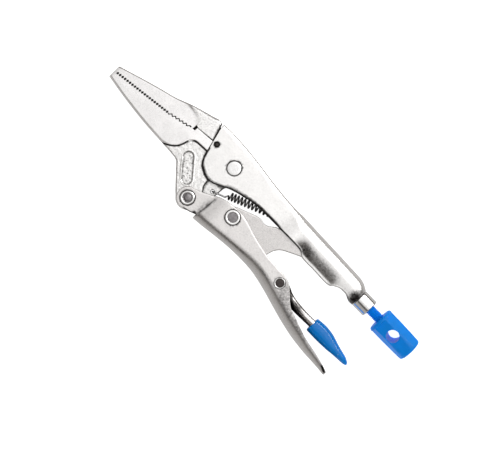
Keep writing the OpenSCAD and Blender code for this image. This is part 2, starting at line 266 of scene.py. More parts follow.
def turned(name, profile, centre, axis="Z", steps=64):
    """A turned piece: profile is (radius, height) points along its axis."""
    rings = []
    for k in range(steps):
        a = 2 * math.pi * k / steps
        ring = []
        for r, h in profile:
            u, v = r * math.cos(a), r * math.sin(a)
            point = (u, v, h) if axis == "Z" else (h, u, v)
            ring.append(tuple(Vector(centre) + Vector(point)))
        rings.append(ring)
    n = len(profile)
    verts = [p for ring in rings for p in ring]
    faces = []
    for i in range(steps):
        for j in range(n - 1):
            a, b = i * n + j, i * n + j + 1
            c, d = ((i + 1) % steps) * n + j + 1, ((i + 1) % steps) * n + j
            faces.append((a, b, c, d))
    return new_object(name, verts, faces)


def rounded(points, radius, count=3):
    """A profile with each inner corner rounded to the radius."""
    out = [points[0]]
    for before, corner, after in zip(points, points[1:], points[2:]):
        c = Vector(corner)
        to_a, to_b = Vector(before) - c, Vector(after) - c
        r = min(radius, 0.45 * to_a.length, 0.45 * to_b.length)
        a, b = c + to_a.normalized() * r, c + to_b.normalized() * r
        for k in range(count + 1):
            u = k / count
            out.append(tuple((1 - u) ** 2 * a + 2 * u * (1 - u) * c + u ** 2 * b))
    out.append(points[-1])
    return out


def cut(obj, cutter):
    """Takes the cutter's solid away from obj, and the cutter with it."""
    mod = obj.modifiers.new("cut", "BOOLEAN")
    mod.operation = "DIFFERENCE"
    mod.solver = "EXACT"
    mod.object = cutter
    apply_modifiers(obj)
    bpy.data.objects.remove(cutter)


def apply_modifiers(obj):
    """Bakes the modifiers into the mesh."""
    graph = bpy.context.evaluated_depsgraph_get()
    graph.update()
    mesh = bpy.data.meshes.new_from_object(obj.evaluated_get(graph))
    obj.modifiers.clear()
    obj.data = mesh


def bar(name, centre, radius, half, steps=48):
    """A plain round cutter across the tool."""
    profile = [(0, -half), (radius, -half), (radius, half), (0, half)]
    return turned(name, profile, centre, steps=steps)


# ---- pressed sheet channels ----------------------------------------------------------------

BEND_STEPS = 8
CORNER_EASE = 0.29


def mirrored(points):
    """The same points on the other side of the middle plane."""
    return [(x, y, -z) for x, y, z in points]


def pressed_channel(name, rim, back_x, back_y, half, bend, sheet, curl, wall=14, edge=0.45,
                    flat=0.0):
    """A sheet-steel channel, section by section from its open edge over its back.

    rim[i] is a point on the open edge and back_x[i] the place along the back that it faces.
    half, bend, sheet and curl are functions of x: half width, bend radius, thickness and how
    far the rim curls in. wall is the number of steps up a side, edge the radius of the rim's
    corners and flat the share of the wall that stays flat by the rim.
    """
    rings = []
    for (rx, ry), bx in zip(rim, back_x):
        by = back_y(bx)
        d = 1 if by > ry else -1
        r, w0, t = bend(bx), half(bx), sheet(bx)
        r = min(r, abs(by - ry) * 0.97, w0 - 0.05)
        knee = (bx, by - d * r)
        length = max(math.dist((rx, ry), knee), 1e-3)
        e = min(edge, 0.45 * t, 0.4 * length)

        def skin(depth):
            """Half of the section at a depth under the outer face, from the rim up."""
            points = []
            for k in range(wall + 1):
                u = e / length + (1 - e / length) * k / wall
                x, y = lerp((rx, ry), knee, u)
                tuck = curl(x) * (1 - math.sin(math.radians(90 * max(u, flat))))
                points.append((x, y, half(x) - tuck - depth))
            for k in range(1, BEND_STEPS + 1):
                a = math.radians(90 * k / BEND_STEPS)
                points.append((bx, knee[1] + d * ((r - depth) * math.sin(a) if r > depth else 0),
                               w0 - r + max(r - depth, 0) * math.cos(a)))
            if r <= depth:
                for k in range(1, BEND_STEPS + 1):
                    points[-k] = (points[-k][0], by - d * depth, w0 - depth)
            return points

        outer, inner = skin(0.0), skin(t)
        tuck = curl(rx) * (1 - math.sin(math.radians(90 * flat)))
        w = half(rx) - tuck
        eased = CORNER_EASE * e
        corner = lerp((rx, ry), knee, eased / length)
        lip = [corner + (w - eased,), (rx, ry, w - e), (rx, ry, w - t + e),
               corner + (w - t + eased,)]
        rings.append(outer + mirrored(outer)[::-1] + mirrored(lip) + mirrored(inner)
                     + inner[::-1] + lip[::-1])
    n = len(rings[0])
    verts, faces = rings_to_mesh(rings, closed_ends=False)
    for start in (0, (len(rings) - 1) * n):
        faces += sheet_end(start, 2 * (wall + 1 + BEND_STEPS))
    return new_object(name, verts, faces)


def sheet_end(start, skin):
    """Faces that close one end of a channel's sheet, between its outer and inner skins."""
    inner = skin + 4
    last = inner + skin - 1
    faces = [(start + k, start + k + 1, start + last - 1 - k, start + last - k)
             for k in range(skin - 1)]
    for lip in ([skin - 1, *range(skin, inner), inner], [last, *range(last + 1, last + 5), 0]):
        faces.append(tuple(start + k for k in lip))
    return faces


# ---- materials -----------------------------------------------------------------------------

class Nodes:
    """A small helper to wire the nodes of a material, or of a world."""

    def __init__(self, owner, shader="Principled BSDF", coordinates="Object"):
        owner.use_nodes = True
        self.owner = owner
        self.tree = owner.node_tree
        self.shader = self.tree.nodes[shader]
        self.place = self.add("ShaderNodeTexCoord").outputs[coordinates]

    def add(self, kind, **values):
        """A new node, with values for its sockets or its settings."""
        node = self.tree.nodes.new(kind)
        for key, value in values.items():
            if key in node.inputs:
                node.inputs[key].default_value = value
            else:
                setattr(node, key, value)
        return node

    def link(self, out, into):
        self.tree.links.new(out, into)

    def constants(self, values):
        """Sets the shader's sockets by their names."""
        for name, value in values.items():
            self.shader.inputs[name].default_value = value

    def stretched(self, scale):
        """Object coordinates scaled by (x, y, z), for grain that runs one way."""
        mapping = self.add("ShaderNodeMapping")
        mapping.inputs["Scale"].default_value = scale
        self.link(self.place, mapping.inputs["Vector"])
        return mapping.outputs["Vector"]

    def noise(self, size_mm, detail=3.0, rough=0.6, stretch=None):
        """Noise with features of about size_mm."""
        node = self.add("ShaderNodeTexNoise", Scale=1.0 / (size_mm * MM), Detail=detail,
                        Roughness=rough)
        self.link(self.stretched(stretch) if stretch else self.place, node.inputs["Vector"])
        return node.outputs["Fac"]

    def ramp(self, value, *stops):
        """A value through (position, colour or grey) stops."""
        node = self.add("ShaderNodeValToRGB")
        elements = node.color_ramp.elements
        while len(elements) < len(stops):
            elements.new(0.5)
        for element, (at, tint) in zip(elements, stops):
            rgb = tint if isinstance(tint, tuple) else (tint,) * 3
            element.position = at
            element.color = (*rgb, 1.0)
        self.link(value, node.inputs["Fac"])
        return node.outputs["Color"]

    def feed(self, socket, value):
        """Sets a socket to a number or a colour, or links it to another node's output."""
        if isinstance(value, tuple):
            socket.default_value = (*value, 1.0)
        elif isinstance(value, (float, int)):
            socket.default_value = value
        else:
            self.link(value, socket)

    def mixed(self, factor, a, b, mode="MIX"):
        """Two colours mixed by a factor."""
        node = self.add("ShaderNodeMix", data_type="RGBA", blend_type=mode)
        colours = [i for i in node.inputs if i.type == "RGBA"]
        for socket, value in zip((node.inputs[0], *colours), (factor, a, b)):
            self.feed(socket, value)
        return [o for o in node.outputs if o.type == "RGBA"][0]

    def maths(self, operation, *values):
        """Arithmetic on numbers or other nodes' outputs."""
        node = self.add("ShaderNodeMath", operation=operation)
        for socket, value in zip(node.inputs, values):
            self.feed(socket, value)
        return node.outputs[0]

    def patchy(self, attribute):
        """A mesh attribute from 0 to 1 whose middle values break up into specks."""
        amount = self.add("ShaderNodeAttribute", attribute_name=attribute).outputs["Fac"]
        part = self.maths("MULTIPLY", amount, self.maths("SUBTRACT", 1.0, amount))
        specks = self.maths("SUBTRACT", self.noise(1.3, 4.0, 0.75), 0.5)
        uneven = self.maths("MULTIPLY", self.maths("MULTIPLY", specks, 8.0), part)
        node = self.add("ShaderNodeClamp")
        self.link(self.maths("ADD", amount, uneven), node.inputs["Value"])
        return node.outputs[0]

    def bump(self, height, depth_mm):
        """Surface relief from a height of 0 to 1; several calls stack up."""
        node = self.add("ShaderNodeBump", Strength=1.0, Distance=depth_mm * MM)
        self.link(height, node.inputs["Height"])
        normal = self.shader.inputs["Normal"]
        if normal.is_linked:
            self.link(normal.links[0].from_socket, node.inputs["Normal"])
        self.link(node.outputs["Normal"], normal)


# Dark colour mixed into the steels: mostly painted shade and painted dark reflection, partly grease
SHADE_AND_GRIME = (0.012, 0.010, 0.009)


def darker(tint, share):
    return tuple(c * share for c in tint)


def steel(name, tint, rough, grain=0.30, relief=0.012, speck=0.0, grain_way=(1, 1, 1), lumps=0.0):
    """Bare or plated steel: fine grain, uneven gloss, faint stains, painted shade and grease where
    the mesh marks them, and optional hammer lumps.
    """
    m = Nodes(bpy.data.materials.new(name))
    m.constants({"Metallic": 1.0})
    fine = m.noise(grain, 4.0, 0.65, grain_way)
    broad = m.noise(7.0, 3.0, 0.55)
    stain = m.ramp(broad, (0.3, darker(tint, 0.93)), (0.62, tint))
    spots = m.ramp(m.noise(0.85, 4.0, 0.7, grain_way), (0.36, 0.45), (0.52, 1.0))
    plated = m.mixed(0.12 + speck, stain, spots, "MULTIPLY")
    # the base colour goes dark where the mesh attribute marks painted shade and grease
    m.link(m.mixed(m.patchy("shade_and_grime"), plated, SHADE_AND_GRIME), m.shader.inputs["Base Color"])
    m.link(m.ramp(fine, (0.25, max(rough - 0.09, 0.05)), (0.75, rough + 0.12)),
           m.shader.inputs["Roughness"])
    if lumps:
        m.bump(m.noise(1.5, 4.0, 0.65), lumps)
    m.bump(fine, relief)
    return m.owner


def blue_coat(name, tint, rough, orange_peel, coat):
    """Opaque glossy blue, brush-dipped or painted, a little darker in places."""
    m = Nodes(bpy.data.materials.new(name))
    m.constants({"Coat Weight": coat, "Coat Roughness": 0.08, "Specular IOR Level": 0.15})
    cloud = m.noise(5.0, 2.0, 0.5)
    m.link(m.ramp(cloud, (0.3, darker(tint, 0.88)), (0.7, tint)), m.shader.inputs["Base Color"])
    peel = m.noise(1.1, 3.0, 0.5)
    m.link(m.ramp(peel, (0.3, rough - 0.05), (0.7, rough + 0.07)), m.shader.inputs["Roughness"])
    m.bump(peel, orange_peel)
    return m.owner


NICKEL = (0.90, 0.885, 0.87)
SHEET = steel("satin_nickel_sheet", NICKEL, 0.30, speck=0.10, lumps=0.05)
FORGED = steel("forged_nickel", NICKEL, 0.30, grain=0.38, relief=0.020, speck=0.46, lumps=0.10)
GROUND = steel("ground_nickel", (0.985, 0.965, 0.955), 0.27, grain=0.16, relief=0.006,
               speck=0.06, lumps=0.02)
POLISHED = steel("polished_nickel", (0.86, 0.85, 0.84), 0.16, grain=0.2, relief=0.003,
                 grain_way=(0.2, 1, 1))
RIVET = steel("rivet_steel", (0.90, 0.89, 0.88), 0.24, grain=0.25, speck=0.1)
RIVET_CORE = steel("rivet_core", (0.27, 0.255, 0.26), 0.34, relief=0.02, speck=0.6, lumps=0.25)
LEVER_CORE = steel("lever_rivet_core", (0.075, 0.065, 0.062), 0.36, relief=0.02, speck=0.5)
# Dark steel for the lock pin: painted shade of the recess the pin sits in
PIN_SHADE_DARK = steel("dark_steel", (0.06, 0.055, 0.052), 0.42, relief=0.02, speck=0.2)
GRIP_SHEET = steel("satin_nickel_grip", (0.76, 0.735, 0.72), 0.30, speck=0.14, lumps=0.05)
LINK = steel("link_steel", (0.69, 0.665, 0.65), 0.27, speck=0.12)
SPRING = steel("spring_steel", (0.55, 0.54, 0.54), 0.26, relief=0.006, speck=0.1)
DIP = blue_coat("blue_dip", (0.0, 0.25, 0.80), 0.24, 0.008, 0.30)
PAINT = blue_coat("blue_paint", (0.0, 0.285, 0.97), 0.36, 0.008, 0.06)


def finish(obj, body, nodes, slot, *materials):
    """Puts a piece on its body in place of the CAD nodes, with its materials."""
    for material in materials:
        obj.data.materials.append(material)
    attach(obj, body)
    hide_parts(*nodes)
    return obj


def mark_shade_and_grime(obj, amount):
    """Marks where shade is painted dark, with some grease: amount(x, y, z, normal) from 0 to 1, in
    millimetres.
    """
    marks = obj.data.attributes.new("shade_and_grime", "FLOAT", "POINT")
    values = []
    for vertex in obj.data.vertices:
        p = (vertex.co - PIVOT) / MM
        values.append(min(max(amount(p.x, p.y, p.z, vertex.normal), 0.0), 1.0))
    marks.data.foreach_set("value", values)


def inside_shade(z, n, back_way, half):
    """Painted shade inside a channel: 1 on the inside of a channel whose back points along back_way
    (1 or -1) of Y, else 0.
    """
    faces_in = n.z * math.copysign(1, z) < -0.3
    under_back = n.y * back_way < -0.3 and abs(z) < half - 2.2
    return float(faces_in or under_back)


def ring_shade(centre, radius, x, y):
    """Painted shade in the seam round a rivet head."""
    away = math.hypot(x - centre[0], y - centre[1])
    return 0.95 * math.exp(-((away - radius) / 0.28) ** 2)


FAR = 1e9


def near_line(points, x, y):
    """Distance from (x, y) to an open polyline."""
    here = Vector((x, y))
    best = FAR
    for a, b in zip(points, points[1:]):
        a, b = Vector(a), Vector(b)
        d = b - a
        u = min(max((here - a).dot(d) / max(d.length_squared, 1e-9), 0), 1)
        best = min(best, (here - a - d * u).length)
    return best


def paint(obj, chooser):
    """Picks each face's material by its centre, in millimetres from the jaw pivot."""
    for face in obj.data.polygons:
        face.material_index = chooser(Vector(face.center) / MM - PIVOT / MM)


# ---- jaws ----------------------------------------------------------------------------------

TIP_X = -84.5
BLOCK_START = -46
STEP_START = -38.3
WEB_HALF = 0.2
TONGUE_HALF = 3.72
SLOT_HALF = 3.0
BITE = [(TIP_X, -9.95), (-47, -4.75), (-32, -1.35)]
FINE_TEETH = dict(start=-82.9, pitch=1.71, share=0.8, depth=0.78, count=21)
COARSE_TEETH = dict(start=-46.4, pitch=2.3, depth=1.1, gap=0.38, count=6)
SHELL_HALF = 5.8


def bite(x):
    """Height of the line along which the jaws meet."""
    return float(np.interp(x, [p[0] for p in BITE], [p[1] for p in BITE]))


def tooth_line(side):
    """The gripping edge from the tip to the throat of the upper (side 1) or lower jaw (-1)."""
    gap = 0.05 * side
    line = [(TIP_X, bite(TIP_X) + gap), (TIP_X + 0.5, bite(TIP_X + 0.5) + gap)]
    for k in range(FINE_TEETH["count"]):
        for part, depth in ((0, 0), (0.26, 0.8), (0.5, 1), (0.74, 0.8), (1, 0)):
            x = FINE_TEETH["start"] + (k + part * FINE_TEETH["share"]) * FINE_TEETH["pitch"]
            line.append((x, bite(x) + gap + side * depth * FINE_TEETH["depth"]))
    for k in range(COARSE_TEETH["count"]):
        for part, rise in ((0, -0.5), (0.5, 0.5)):
            x = COARSE_TEETH["start"] + (k + part) * COARSE_TEETH["pitch"]
            line.append((x, bite(x) + rise * COARSE_TEETH["depth"] + side * COARSE_TEETH["gap"]))
    return line


NOSE_PLAN = steady([(TIP_X, 1.5), (-84.2, 2.0), (-83.6, 2.3), (-65, 3.7), (-46, 4.95), (-38, 5.45),
                    (-31, 5.65), (-20, 5.65)])
LOWER_PLAN = steady([(TIP_X, 1.5), (-84.2, 2.0), (-83.6, 2.3), (-65, 3.7), (-46, 4.9), (-38, 5.3),
                     (-31, 5.7), (-26, 5.8), (-10, 5.8)])
UPPER_TOP = steady([(TIP_X, -6.3), (-77.5, -4.1), (-70, -1.7), (-60, 1.3), (-50, 4.1), (-43, 6.9),
                    (-38, 8.7), (-33, 10.2), (-28, 11.7), (-23.5, 12.9), (-21, 12.6)])
LOWER_BELLY = steady([(TIP_X, -14.2), (-77, -15.4), (-70, -16.4), (-60, -17.5), (-50, -18.3),
                      (-38.5, -18.7)])
BLOCK_EDGE = steady([(-46, 7.6), (-44, 6.2), (-42, 5.75), (-38, 5.2), (-33.5, 3.4), (-31.3, 1.2),
                     (-29, -1)])


def upper_half(x, y):
    """The upper jaw's half thickness: a ground nose, then a block that swells out flush."""
    nose = NOSE_PLAN(x)
    block = smoothstep(-0.1, 1.9, y - BLOCK_EDGE(x)) if x > BLOCK_START else 0
    slot_edge = smoothstep(-31.6, -31.2, x)
    return nose + (SHELL_HALF - nose) * max(block, slot_edge * smoothstep(0.4, 1.2, y))


def tooth_shade(depth):
    """Painted shade between the teeth: less on their tips, none above the notches."""
    return (0.45 + 0.55 * smoothstep(0.1, 0.35, depth)) * (depth < 0.95)


def notch_shade_web(name, side):
    """A thin web, painted dark as the shade in the notches, that closes the bottom of the tooth
    notches at the middle plane.
    """
    xs = np.arange(-82.8, -32.5, 1.0)
    line = [(x, bite(x) + 0.015 + 0.005 * side) for x in xs]
    back = [(x, bite(x) + 1.0 * side) for x in xs[::-1]]
    return plate(name, line + back, WEB_HALF, 0.05)


def build_upper_jaw():
    low = tooth_line(1)
    high = [(x, UPPER_TOP(x)) for x, _ in low]
    throat = [(-31.6, -1.15), (-31.5, 0.2), (-31.45, 1.25), (-31.0, 1.75), (-30.4, 1.45),
              (-29.9, 1.2), (-24.5, 1.85), (-19.35, 2.55)]
    low_tail = [throat[0]] + run_through(throat[1:], 0.7)
    top_tail = [(-31.5, UPPER_TOP(-31.5)), (-28, UPPER_TOP(-28)), (-24.6, 12.8), (-23.2, 12.7),
                (-22.3, 12.2)]
    high_tail = resample(run_through(top_tail, 0.5), len(low_tail))
    low += low_tail
    high += high_tail
    nose = slab("upper_nose", low, high, upper_half, across=26,
                low_round=0.08, high_round=lambda x: 1.0 + 0.5 * smoothstep(-45, -30, x))
    tongue_outline = [(-23.6, 10.4), (-6.2, 10.3), (-6.2, 9.0), (-9.2, 6.5), (-11, 3.0),
                      (-11.4, -0.5), (-17.3, -0.5), (-17.3, 2.75), (-23.6, 2.1)]
    tongue = plate("upper_tongue", tongue_outline, TONGUE_HALF, 0.25)
    # the slot's floor is painted all dark as the shade in the slot
    slot_outline = [(-32, -1.1), (-30.05, -1.1), (-30.05, 1.7), (-32, 1.9)]
    slot_floor = plate("slot_floor", slot_outline, SLOT_HALF, 0.2)
    jaw = join("upper_jaw_forging", [nose, tongue, slot_floor, notch_shade_web("upper_web", 1)])
    shade(jaw, 30)
    finish(jaw, "fixed_side", ["upper_jaw"], "forged_nickel", GROUND, FORGED)
    paint(jaw, lambda p: 1 if p.x > BLOCK_START and p.y > BLOCK_EDGE(p.x) + 0.6 else 0)
    shell_edge = [(-22.2, 12.0), (-19.35, 2.6)]

    # Painted shade: the tongue (partly grease), the notch web and the slot floor all dark, plus
    # shade under the shell's edge and between the teeth
    def amount(x, y, z, n):
        on_tongue = abs(z) < TONGUE_HALF + 0.02 and x > -24
        on_web = abs(z) < WEB_HALF + 0.1 and y < bite(x) + 1.2
        on_slot_floor = abs(z) < SLOT_HALF + 0.05 and -32.2 < x < -29.9
        if on_tongue or on_web or on_slot_floor:
            return 1.0
        if x > -24:
            return smoothstep(0.75, 0.3, near_line(shell_edge, x, y))
        return tooth_shade(y - bite(x)) if abs(z) < NOSE_PLAN(x) - 0.1 and x < -31 else 0.0

    mark_shade_and_grime(jaw, amount)


def lower_half(x, y):
    """The lower jaw's half thickness, a little less towards the belly of the nose."""
    return LOWER_PLAN(x) - 0.03 * max(0.0, bite(x) - 3.4 - y) * (x < -30)


def lower_nose(step):
    """The lower jaw in front of the neck: it ends in a step that follows the given line."""
    teeth = tooth_line(-1)
    throat = [(-31.3, -1.42), (-30.0, -1.5), (-29.85, 0.2), (-29.8, 0.75), (-24.5, 1.33),
              (-18.95, 1.9)]
    nose_high = [p for p in teeth if p[0] < STEP_START]
    tail_high = [p for p in teeth if p[0] >= STEP_START]
    tail_high += throat[:2] + run_through(throat[2:], 0.7)
    low = [(x, LOWER_BELLY(x)) for x, _ in nose_high]
    low += resample(step, len(tail_high))
    return slab("lower_nose", low, nose_high + tail_high, lower_half, across=26, high_round=0.08,
                low_round=lambda x: 1.3 - 0.95 * smoothstep(-39, -34, x))


def build_lower_jaw():
    step = run_through([(STEP_START, -18.65), (-36.3, -17.5), (-34, -16.2), (-31.5, -14.1),
                        (-30, -11.7), (-29.2, -9), (-28.6, -7.0), (-26.8, -5.2), (-25.4, -4.35),
                        (-21.5, -4.0), (-17.45, -3.75)], 0.5)
    nose = lower_nose(step)
    neck = build_neck()
    web = plate("spring_web", [(-7, -13), (-4, -7), (7, -5), (3.9, -12), (3.6, -16), (3.5, -18.6),
                               (2.8, -21.4), (1.5, -25), (-3, -28), (-5, -22)], 1.6, 0.3,
                holes=[(SPRING_EYE[:2], 0.95)])
    seam = plate("seam_lug", [(-29.6, -1.4), (-27, -5), (-17.5, -4.5), (-17.3, 2.75), (-19.6, 2.75),
                              (-24, 1.7), (-29.6, 1.05)], 3.2, 0.2)
    hub = plate("jaw_hub", disc((0, 0), 8.6, 60), 3.48, 0.3)
    heel = plate("jaw_heel", disc(HANDLE_PIVOT[:2], 6.8, 60), 3.47, 0.35)
    jaw = join("lower_jaw_forging", [nose, neck, web, seam, hub, heel, notch_shade_web("lower_web", -1)])
    shade(jaw, 30)
    finish(jaw, "moving_jaw", ["lower_jaw"], "forged_nickel", GROUND, FORGED)
    paint(jaw, lambda p: 0 if abs(p.z) > NECK_TOP or p.x < -38 else 1)
    shell_edge = SHELL_ARC + SHELL_RIM[1:5]
    lug = [(-5.4, -14.5), (-5.15, -17.6), (-4.2, -20), (-3, -21.6), (-1.8, -25)]
    web_edge = [(3.9, -11), (3.7, -16), (3.5, -19)]
    edge_line = step[::5] + [step[-1]]

    # Painted shade: the seam lug's top, the notch web, between the teeth, round the spring lug and
    # its eye, along the step, under the shell and in the panel's corner
    def amount(x, y, z, n):
        on_seam_lug = 3.0 <= abs(z) <= 3.25 and y > -5.2
        on_web = abs(z) < WEB_HALF + 0.1 and x < -32
        if on_seam_lug or on_web:
            return 1.0
        if x < -31 and y > bite(x) - 1.2:
            return tooth_shade(bite(x) - y) if abs(z) < LOWER_PLAN(x) - 0.1 else 0.0
        if abs(z) > NECK_TOP:
            return 0.0
        if abs(z) < 1.7 and x > -7:
            eye = (Vector((x, y)) - SPRING_EYE.xy).length
            return max(smoothstep(1.3, 0.3, near_line(lug, x, y)),
                       0.8 * smoothstep(-14.2, -12.9, y),
                       smoothstep(1.1, 0.5, near_line(web_edge, x, y)),
                       smoothstep(1.5, 1.0, eye))
        step_edge = smoothstep(1.25, 0.65, near_line(edge_line, x, y))
        # a spot where the painted shade along the step is lighter
        less_shade_spot = math.exp(-(math.hypot(x + 28.0, y + 6.2) / 1.5) ** 4)
        step_edge *= 1 - 0.9 * less_shade_spot
        under_shell = smoothstep(1.0, 0.5, near_line(shell_edge, x, y))
        if math.hypot(x, y) < JAW_ARC - 0.3 and y > -11.5 or y > -2.5:
            under_shell = 1.0
        return max(step_edge, under_shell, panel_shade_and_specks(x, y),
                   smoothstep(0.5, 0.1, near_line(lug, x, y)))

    mark_shade_and_grime(jaw, amount)


NECK_HALF = 3.5
NECK_TOP = NECK_HALF + 0.25
PANEL_LINE = [(-22.2, -13.4), (-14.0, -22.7)]
PANEL_R = 3.0


def panel_depth(x, y):
    """The sunk stadium panel of the neck, with a soft rim round it."""
    away = near_line(PANEL_LINE, x, y)
    rim = 0.12 * math.exp(-((away - PANEL_R - 0.45) / 0.4) ** 2)
    return rim - 0.42 * (1 - smoothstep(PANEL_R - 0.3, PANEL_R + 0.15, away))


def panel_shade_and_specks(x, y):
    """How much shade is painted in the corner round the sunk panel, with dark specks inside it."""
    away = near_line(PANEL_LINE, x, y)
    rough = noise.noise(Vector((x, y, 3.0)) * 0.9)
    specks = smoothstep(0.25, 0.5, noise.noise(Vector((x, y, 9.0)) * 1.3))
    corner = math.exp(-((away - PANEL_R + 0.35) / 0.35) ** 2)
    return (0.7 + 0.5 * rough) * corner + 0.6 * specks * (away < PANEL_R - 0.5)


def forged_lumps(x, y, side):
    """Shallow uneven hammer-forged surface."""
    p = Vector((x, y, 40.0 * side))
    return 0.07 * noise.noise(p * 0.55) + 0.035 * noise.noise(p * 1.6)


def build_neck():
    left = run_through([(-41, -18.45), (-36, -18.75), (-28, -19.2), (-25.5, -19.9), (-24, -21.3),
                        (-19, -26.4), (-15, -30.5), (-12.6, -32.8), (-10.6, -34.6)], 0.3)
    right = run_through([(-30.5, -8), (-26, -2.5), (-20, -1.2), (-12, -1.2), (-8, -3), (-5.8, -8),
                         (-5.5, -14.5), (-5.2, -17.6), (-4.2, -20), (-3, -21.3), (-1.6, -25),
                         (-1.2, -28)], 0.3)
    count = 130
    return slab("neck", resample(left, count), resample(right, count), lambda x, y: NECK_HALF,
                across=100, low_round=0.9, high_round=0.5,
                bump=lambda x, y, side: panel_depth(x, y) + forged_lumps(x, y, side))


# ---- plates with holes ---------------------------------------------------------------------

def plate(name, outline, half, bevel, holes=(), z=0.0):
    """A flat plate about z with bevelled edges and round holes, all in millimetres."""
    curve = bpy.data.curves.new(name, "CURVE")
    curve.dimensions = "2D"
    curve.fill_mode = "BOTH"
    loops = [outline] + [disc(centre, radius, 40) for centre, radius in holes]
    for loop in loops:
        spline = curve.splines.new("POLY")
        spline.points.add(len(loop) - 1)
        for point, (x, y) in zip(spline.points, loop):
            point.co = (x, y, 0, 1)
        spline.use_cyclic_u = True
    curve.extrude = half - bevel
    curve.bevel_depth = bevel
    curve.offset = -bevel
    curve.bevel_resolution = 2
    holder = add_object(name + "_curve", curve)
    graph = bpy.context.evaluated_depsgraph_get()
    graph.update()
    mesh = bpy.data.meshes.new_from_object(holder.evaluated_get(graph))
    bpy.data.objects.remove(holder)
    refine(mesh, 0.9)
    verts = [Vector(v.co) + Vector((0, 0, z)) for v in mesh.vertices]
    faces = [tuple(f.vertices) for f in mesh.polygons]
    return new_object(name, verts, faces)


def refine(mesh, longest):
    """Splits long edges, so that marks on the surface have points to sit on."""
    work = bmesh.new()
    work.from_mesh(mesh)
    for _ in range(7):
        edges = [e for e in work.edges if e.calc_length() > longest]
        if not edges:
            break
        bmesh.ops.subdivide_edges(work, edges=edges, cuts=1)
        bmesh.ops.triangulate(work, faces=work.faces[:])
    work.to_mesh(mesh)
    work.free()


# ---- fixed handle --------------------------------------------------------------------------

SHELL_BACK = steady([(-21, 12.9), (-15, 13.1), (-5, 12.8), (5, 12), (15, 10.8), (25, 9.7), (35, 9),
                     (41, 8.9), (45, 9.2), (60, 8.9), (80, 8.5), (92, 8.1), (95, 7.4), (98.6, 5.6)])
SHELL_RIM = [(-13, -11.6), (-9, -13.8), (-5, -14.7), (-2, -14), (2, -12), (6, -9.9), (10, -8.4),
             (15, -7.1), (20, -5.9), (27, -5.2), (40, -5), (54, -4.9), (58, -5.4), (61, -7.2),
             (70, -7.4), (82, -7.4), (84, -5.8), (87, -4.2), (90, -3.7), (93, -4), (96, -5.3),
             (98.6, -5.5)]
SHELL_WIDTH = steady([(-21, 5.8), (38, 5.8), (50, 7), (93.5, 7), (95.5, 6.75), (98.6, 5.6)])
SHELL_BEND = steady([(-21, 1.8), (35, 2.4), (42, 3.6), (50, 6.2), (93, 6.4), (98.6, 5.4)])
SHELL_TUCK = steady([(-21, 0), (50, 0), (58, 2.5), (80, 2.4), (85, 0.7), (92, 0.5), (98.6, 1.4)])
SHELL_SHEET = steady([(-21, 2), (93, 2), (98.6, 1.6)])
LOCK_PIN = (-16.0, 2.3)
JAW_ARC = 17.5
SHELL_ARC = arc((0, 0), JAW_ARC, 186.3, 35.2, 14)


def build_fixed_handle():
    rim = run_through(SHELL_ARC + SHELL_RIM[1:], 1.0)
    lead = len([p for p in rim if p[0] < -5])
    back_x = [-21 + 16 * (i / lead) ** 1.1 for i in range(lead)] + [x for x, _ in rim[lead:]]
    handle = pressed_channel("handle_shell", rim, back_x, SHELL_BACK, SHELL_WIDTH, SHELL_BEND,
                             SHELL_SHEET, SHELL_TUCK, wall=18, edge=0.5, flat=0.17)
    cut(handle, bar("pin_cut", (*LOCK_PIN, 0), 1.65, 12))
    cut(handle, bar("pivot_cut", (0, 0, 0), BORE_R, 12))
    for side in (1, -1):
        cut(handle, bar("head_cut", (0, 0, side * 7.1), 4.25, 2.0))
    tab = plate("spring_tab", [(41, 0), (45, 0), (45, 7.2), (41, 7.2)], 0.75, 0.2,
                holes=[(SPRING_ANCHOR[:2], 0.9)])
    handle = join("fixed_handle_sheet", [handle, tab])
    shade(handle, 35)
    finish(handle, "fixed_side", ["fixed_handle"], "nickel_sheet", SHEET)
    rim_line = rim[::3] + [rim[-1]]

    # Painted shade inside the channel, along the lower rim, round the pivot rivet and the lock pin,
    # and at the crimp; painted dark reflection on the flank of the rolled tube
    def amount(x, y, z, n):
        inside = inside_shade(z, n, 1, SHELL_WIDTH(x))
        wide = 0.9 + 1.1 * smoothstep(0, 5, x) - 1.0 * smoothstep(36, 44, x)
        edge = near_line(rim_line, x, y) if y < 0 and x < 58 else FAR
        crimp = smoothstep(5.6, 1.6, math.hypot((x - 97.0) * 1.05, (y + 1.6) * 0.9))
        flank = smoothstep(1.6, -2.0, y) * smoothstep(-6.0, -5.2, y) * smoothstep(53, 59, x)
        flank *= smoothstep(86, 80, x) * (0.42 + 0.35 * smoothstep(68, 60, x))
        return max(0.9 * inside, smoothstep(wide, 0.5 * wide, edge), ring_shade((0, 0), 4.2, x, y),
                   ring_shade(LOCK_PIN, 1.7, x, y), 0.95 * crimp, flank)

    mark_shade_and_grime(handle, amount)


def build_lock_pin():
    outline = [(0, -5.15), (1.0, -5.1), (1.6, -4.6), (1.6, 4.6), (1.0, 5.1), (0, 5.15)]
    profile = outline[:1] + rounded(outline, 0.4)
    pin = turned("lock_pin", profile, (*LOCK_PIN, 0), steps=32)
    # the pin is dark as painted shade in its recess
    finish(pin, "fixed_side", ["jaw_lock_pin"], "dark_steel", PIN_SHADE_DARK)


# ---- rivets --------------------------------------------------------------------------------

SHANK_SHARE = 0.72


